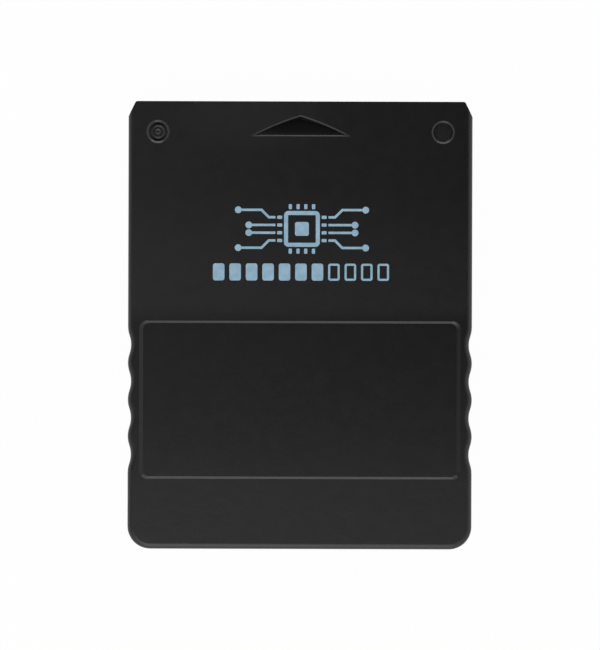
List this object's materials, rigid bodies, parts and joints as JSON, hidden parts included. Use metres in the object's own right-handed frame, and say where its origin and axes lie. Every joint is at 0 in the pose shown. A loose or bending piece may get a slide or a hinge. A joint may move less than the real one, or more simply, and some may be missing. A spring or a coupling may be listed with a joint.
{
  "type": "console memory card",
  "caption": "Flat black memory card: two plastic shells with scalloped grip edges, a framed label area and an arrow recess, around a circuit board with gold contacts at one end",
  "frame": {"origin": "centre of the back face, on which the card lies", "axes": "X across the card, +Y towards the contact end, +Z out of the front face"},
  "size_m": [0.0424, 0.055, 0.008],
  "materials": {
    "case_black": "fine grained black moulded plastic",
    "board_green": "green solder mask on glass laminate",
    "contact_gold": "gold plated",
    "package_black": "moulded epoxy package",
    "lead_tin": "tin plated",
    "epoxy_black": "poured epoxy",
    "crystal_ceramic": "fired ceramic",
    "crystal_steel": "plated lid",
    "capacitor_ceramic": "fired ceramic with tinned ends",
    "resistor_ceramic": "glazed film with tinned ends",
    "reservoir_yellow": "moulded case"
  },
  "bodies": {
    "root": {"front_shell": "case_black", "rear_shell": "case_black", "circuit_board": "board_green", "flash_memory_body": "package_black", "flash_memory_leads": "lead_tin", "controller_glob_top": "epoxy_black", "crystal_base": "crystal_ceramic", "crystal_lid": "crystal_steel", "reservoir_capacitor": "reservoir_yellow", "contact_data": "contact_gold", "contact_command": "contact_gold", "contact_supply": "contact_gold", "contact_ground": "contact_gold", "contact_logic_supply": "contact_gold", "contact_select": "contact_gold", "contact_clock": "contact_gold", "contact_acknowledge": "contact_gold", "flash_supply_capacitor": "capacitor_ceramic", "controller_supply_capacitor": "capacitor_ceramic", "input_supply_capacitor": "capacitor_ceramic", "crystal_capacitor_input": "capacitor_ceramic", "crystal_capacitor_output": "capacitor_ceramic", "data_resistor": "resistor_ceramic", "command_resistor": "resistor_ceramic", "select_resistor": "resistor_ceramic", "clock_resistor": "resistor_ceramic", "acknowledge_resistor": "resistor_ceramic"}
  },
  "joints": []
}
